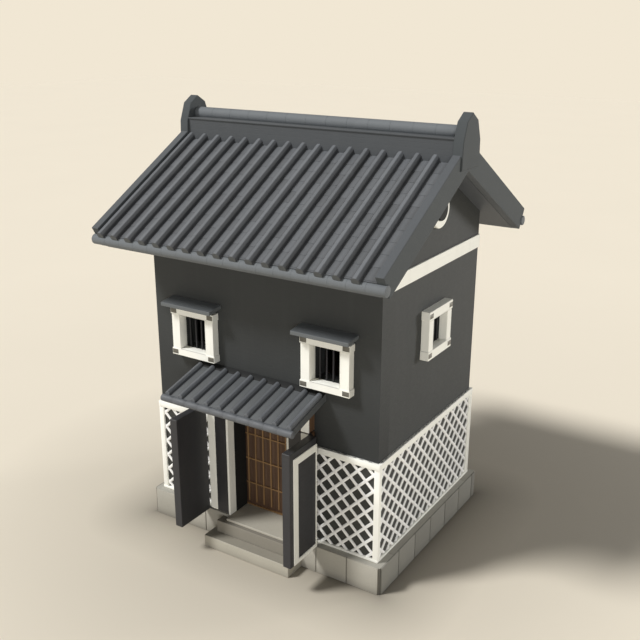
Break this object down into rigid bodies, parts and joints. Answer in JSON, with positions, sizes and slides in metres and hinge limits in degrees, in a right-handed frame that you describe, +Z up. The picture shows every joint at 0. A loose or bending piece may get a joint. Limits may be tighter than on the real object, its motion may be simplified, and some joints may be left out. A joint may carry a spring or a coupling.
{
  "type": "storehouse",
  "caption": "Tall plastered storehouse on a stone plinth, with raised diagonal lattice on its lower walls, ribbed tile roof, small windows, porch and thick swinging doors.",
  "frame": {"origin": "ground level under the middle of the building's four walls", "axes": "+Z up; -Y towards the steps and the doorway; +X towards the right-hand gable as seen from the front"},
  "size_m": [5.54, 5.5568, 7.5682],
  "materials": {
    "stone": "matte",
    "dark_plaster": "matte",
    "white_plaster": "matte",
    "black_plaster": "satin",
    "roof_tile": "matte",
    "surround_wood": "matte",
    "door_wood": "matte",
    "floor_wood": "matte",
    "iron": "matte"
  },
  "bodies": {
    "building": {"plinth": "stone", "lower_step": "stone", "upper_step": "stone", "threshold": "stone", "ground_floor": "floor_wood", "upper_floor": "floor_wood", "front_wall_left": "dark_plaster", "front_wall_right": "dark_plaster", "front_wall_over_door": "dark_plaster", "back_wall": "dark_plaster", "left_wall": "dark_plaster", "right_wall": "dark_plaster", "front_lattice": "white_plaster", "right_lattice": "white_plaster", "back_lattice": "white_plaster", "left_lattice": "white_plaster", "gable_bands": "white_plaster", "gable_rings": "white_plaster", "gable_bosses": "black_plaster", "door_jambs": "surround_wood", "door_head_beam": "surround_wood", "doorway_lining": "white_plaster", "surround_black_band": "black_plaster", "surround_white_bands": "white_plaster", "door_pivot_pins": "iron", "lattice_door_track": "door_wood", "front_windows": "white_plaster", "side_windows": "white_plaster", "front_window_hoods": "roof_tile", "front_roof": "roof_tile", "back_roof": "roof_tile", "eave_rolls": "roof_tile", "bargeboards": "roof_tile", "ridge_wall": "roof_tile", "ridge_roll": "roof_tile", "ridge_ends": "roof_tile", "porch_roof": "roof_tile", "porch_eave_roll": "roof_tile"},
    "left_leaf": {"left_door": "black_plaster", "left_door_border": "white_plaster", "left_door_pivot_arms": "iron"},
    "right_leaf": {"right_door": "black_plaster", "right_door_border": "white_plaster", "right_door_pivot_arms": "iron"},
    "lattice_leaf": {"lattice_door": "door_wood"}
  },
  "joints": [
    {"name": "left_door_hinge", "type": "hinge", "parent": "building", "child": "left_leaf", "pos_m": [-0.922, -1.809, 0.51], "axis": [0, 0, 1], "range_deg": [-15, 90]},
    {"name": "right_door_hinge", "type": "hinge", "parent": "building", "child": "right_leaf", "pos_m": [0.922, -1.809, 0.51], "axis": [0, 0, -1], "range_deg": [-15, 90]},
    {"name": "lattice_door_slide", "type": "slide", "parent": "building", "child": "lattice_leaf", "axis": [1, 0, 0], "range_m": [0, 1.2]}
  ]
}
